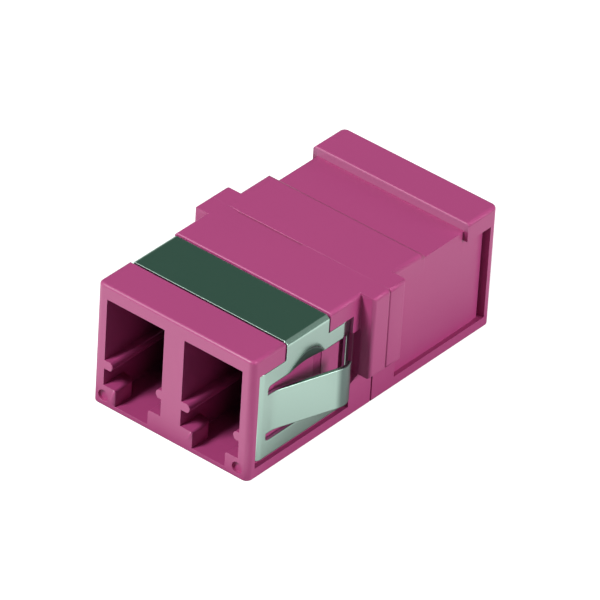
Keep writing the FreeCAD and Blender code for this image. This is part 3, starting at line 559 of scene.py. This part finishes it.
# A pale floor. The eye sees it as white, and it throws little light back up. For a mirror its glow is
# painted: bright in front of the ports, and duller beside the adapter, down to a painted dark contact
# shadow.
floorLook = {
    "halfSize": 2500.0, "albedo": "#9C9C9C", "glow": 0.96,
    # what a mirror sees beside the adapter, at the first and at the second distance from it
    "shadowReach": (0.8, 8.0), "shadowCurve": 0.5, "besideGlow": (0.12, 0.66),
    # the share of that which it sees behind the clip's fingers, and behind the middle block
    "backAlong": (-4.5, -1.5), "backShare": 0.74,
    "farAlong": (4.5, 7.5), "farShare": 1.2,
    # what it sees in front of the ports
    "frontAcross": (12.0, 7.0), "frontAlong": (-12.0, -14.0), "frontGlow": 2.1,
}


# 1 for rays that see a surface directly or in a mirror, and 0 for those that only carry light
def isSeenRay(tree):
    path = addNode(tree, "ShaderNodeLightPath").outputs
    seen = path["Is Camera Ray"]
    for kind in ("Is Glossy Ray", "Is Transmission Ray"):
        seen = addNode(tree, "ShaderNodeMath", {"operation": "MAXIMUM"},
                       {0: seen, 1: path[kind]}).outputs[0]
    return seen


# how far a place on the floor is from the adapter's footprint
def gapToAdapter(tree, place):
    footprint = (body["halfWidth"] * mm, body["halfLength"] * mm, 0)
    folded = addNode(tree, "ShaderNodeVectorMath", {"operation": "ABSOLUTE"}, {0: place})
    past = addNode(tree, "ShaderNodeVectorMath", {"operation": "SUBTRACT"},
                   {0: folded.outputs["Vector"], 1: footprint})
    outside = addNode(tree, "ShaderNodeVectorMath", {"operation": "MAXIMUM"},
                      {0: past.outputs["Vector"], 1: (0, 0, 0)})
    return addNode(tree, "ShaderNodeVectorMath", {"operation": "LENGTH"},
                   {0: outside.outputs["Vector"]}).outputs["Value"]


# what a mirror sees of the floor's glow, a painted reflection with a painted contact shadow
def mirroredGlow(tree, place):
    parts = addNode(tree, "ShaderNodeSeparateXYZ", inputs={0: place}).outputs
    near, far = floorLook["shadowReach"]
    away = addNode(tree, "ShaderNodeMapRange",
                   inputs={"Value": gapToAdapter(tree, place), "From Min": near * mm,
                           "From Max": far * mm})
    lit = addNode(tree, "ShaderNodeMath", {"operation": "POWER"},
                  {0: away.outputs[0], 1: floorLook["shadowCurve"]})
    dull, bright = floorLook["besideGlow"]
    behind = zoneShare(tree, soft=[(parts["Y"], floorLook["backAlong"])])
    beyond = zoneShare(tree, soft=[(parts["Y"], floorLook["farAlong"])])
    front = zoneShare(tree, soft=[(parts["X"], floorLook["frontAcross"]),
                                  (parts["Y"], floorLook["frontAlong"])])
    # each value goes from a low to a high as a share goes from 0 to 1
    glow = addNode(tree, "ShaderNodeMapRange",
                   inputs={"Value": lit.outputs[0], "To Min": dull, "To Max": bright})
    back = addNode(tree, "ShaderNodeMapRange",
                   inputs={"Value": behind, "To Min": 1.0, "To Max": floorLook["backShare"]})
    later = addNode(tree, "ShaderNodeMapRange",
                    inputs={"Value": beyond, "To Min": back.outputs[0],
                            "To Max": floorLook["farShare"]})
    beside = addNode(tree, "ShaderNodeMath", {"operation": "MULTIPLY"},
                     {0: glow.outputs[0], 1: later.outputs[0]})
    return addNode(tree, "ShaderNodeMapRange",
                   inputs={"Value": front, "To Min": beside.outputs[0],
                           "To Max": floorLook["frontGlow"]}).outputs[0]


def makeFloor():
    mesh = bpy.data.meshes.new("paleFloor")
    h = floorLook["halfSize"] * mm
    mesh.from_pydata([(-h, -h, 0), (h, -h, 0), (h, h, 0), (-h, h, 0)], [], [(0, 1, 2, 3)])
    floor = bpy.data.objects.new("paleFloor", mesh)
    bpy.context.scene.collection.objects.link(floor)
    material, tree, place = newMaterial("whiteSweep")
    matte = addNode(tree, "ShaderNodeBsdfDiffuse", inputs={"Color": linear(floorLook["albedo"])})
    mirrored = addNode(tree, "ShaderNodeLightPath").outputs["Is Glossy Ray"]
    amount = addNode(tree, "ShaderNodeMapRange",
                     inputs={"Value": mirrored, "To Min": floorLook["glow"],
                             "To Max": mirroredGlow(tree, place)})
    strength = addNode(tree, "ShaderNodeMath", {"operation": "MULTIPLY"},
                       {0: isSeenRay(tree), 1: amount.outputs[0]})
    glow = addNode(tree, "ShaderNodeEmission",
                   inputs={"Color": linear("#FFFFFF"), "Strength": strength.outputs[0]})
    both = addNode(tree, "ShaderNodeAddShader", inputs={0: matte.outputs[0], 1: glow.outputs[0]})
    finishMaterial(tree, both)
    mesh.materials.append(material)


# The room: weak even light. The picture sees it white. A mirror sees it white in front and grey
# behind, with a dark green-grey patch of ceiling that the clip's top mirrors, and with a small
# bright pane that puts glints on the clip's right side.
room = {
    "light": 0.10,
    "back": "#9DA6A2", "backTowards": (0.05, 0.55),      # how far a direction points to the back
    # cosines from the middle of each patch: no share outside the first, full inside the second
    "ceiling": "#4E655C", "ceilingAt": (-0.50, 0.64, 0.58), "ceilingSpan": (0.93, 0.985),
    "pane": 5.0, "paneAt": (0.85, 0.22, 0.48), "paneSpan": (0.94, 0.975),
}


# the share of a round patch of sky
def skyPatch(tree, direction, middle, span):
    cosine = addNode(tree, "ShaderNodeVectorMath", {"operation": "DOT_PRODUCT"},
                     {0: direction, 1: Vector(middle).normalized()})
    return zoneShare(tree, soft=[(cosine.outputs["Value"], span)], unit=1)


def makeRoom():
    world = bpy.data.worlds.new("studio")
    world.use_nodes = True
    tree = world.node_tree
    tree.nodes.clear()
    direction = addNode(tree, "ShaderNodeTexCoord").outputs["Generated"]
    glossy = addNode(tree, "ShaderNodeLightPath").outputs["Is Glossy Ray"]
    parts = addNode(tree, "ShaderNodeSeparateXYZ", inputs={0: direction}).outputs
    toBack = zoneShare(tree, soft=[(parts["Y"], room["backTowards"])], unit=1)
    ceiling = skyPatch(tree, direction, room["ceilingAt"], room["ceilingSpan"])
    mirrored = paintOver(tree, "#FFFFFF", (toBack, room["back"]), (ceiling, room["ceiling"]))
    colour = addNode(tree, "ShaderNodeMix", {"data_type": "RGBA"},
                     {0: glossy, 6: linear("#FFFFFF"), 7: mirrored})
    pane = inAll(tree, glossy, skyPatch(tree, direction, room["paneAt"], room["paneSpan"]))
    even = addNode(tree, "ShaderNodeMapRange",
                   inputs={"Value": isSeenRay(tree), "To Min": room["light"], "To Max": 1.0})
    strength = addNode(tree, "ShaderNodeMath", {"operation": "MULTIPLY_ADD"},
                       {0: pane, 1: room["pane"], 2: even.outputs[0]})
    background = addNode(tree, "ShaderNodeBackground",
                         inputs={"Color": colour.outputs[2], "Strength": strength.outputs[0]})
    addNode(tree, "ShaderNodeOutputWorld", inputs={"Surface": background.outputs[0]})
    bpy.context.scene.world = world


# Lamps in metres and watts. Each one aims at the middle of the adapter.
lamps = {
    "frontLeftKey": {"at": (-0.26, -0.64, 0.70), "size": 0.26, "power": 10.0, "mirrored": True},
    "rightRearFill": {"at": (0.86, 0.38, 0.25), "size": 0.40, "power": 8.0, "mirrored": False},
}
aim = Vector((0, 0, 4.5 * mm))


def turnTowards(obj, target):
    obj.rotation_euler = (target - obj.location).to_track_quat("-Z", "Y").to_euler()


def makeLights():
    for name, facts in lamps.items():
        data = bpy.data.lights.new(name, "AREA")
        data.shape = "SQUARE"
        data.size = facts["size"]
        data.energy = facts["power"]
        lamp = bpy.data.objects.new(name, data)
        lamp.location = facts["at"]
        lamp.visible_glossy = facts["mirrored"]
        turnTowards(lamp, aim)
        bpy.context.scene.collection.objects.link(lamp)


# The photograph's viewpoint, from a fit to the object's corners: azimuth and elevation of the
# view, roll, and where the adapter's origin lies in the camera's own axes.
view = {
    "azimuth": 37.85, "elevation": 35.043, "roll": -3.635,      # degrees
    "right": -0.467, "up": -3.797, "distance": 493.586,
    "lens": 473.5, "sensor": 36.0, "clip": (0.05, 20),          # the clip is in metres
}


def makeCamera():
    a, e, r = (math.radians(view[key]) for key in ("azimuth", "elevation", "roll"))
    forward = Vector((-math.sin(a) * math.cos(e), math.cos(a) * math.cos(e), -math.sin(e)))
    right = Vector((math.cos(a), math.sin(a), 0))
    up = right.cross(forward)
    rolledRight = math.cos(r) * right - math.sin(r) * up
    rolledUp = math.sin(r) * right + math.cos(r) * up
    place = -(rolledRight * view["right"] + rolledUp * view["up"] + forward * view["distance"])
    data = bpy.data.cameras.new("photoCamera")
    data.lens = view["lens"]
    data.sensor_width = view["sensor"]
    data.clip_start, data.clip_end = view["clip"]
    camera = bpy.data.objects.new("photoCamera", data)
    turn = Matrix((rolledRight, rolledUp, -forward)).transposed()
    camera.matrix_world = Matrix.Translation(place * mm) @ turn.to_4x4()
    bpy.context.scene.collection.objects.link(camera)
    bpy.context.scene.camera = camera


makeFloor()
makeRoom()
makeLights()
makeCamera()
bpy.context.scene.view_settings.view_transform = "Standard"
print("stage, lights and camera ready")
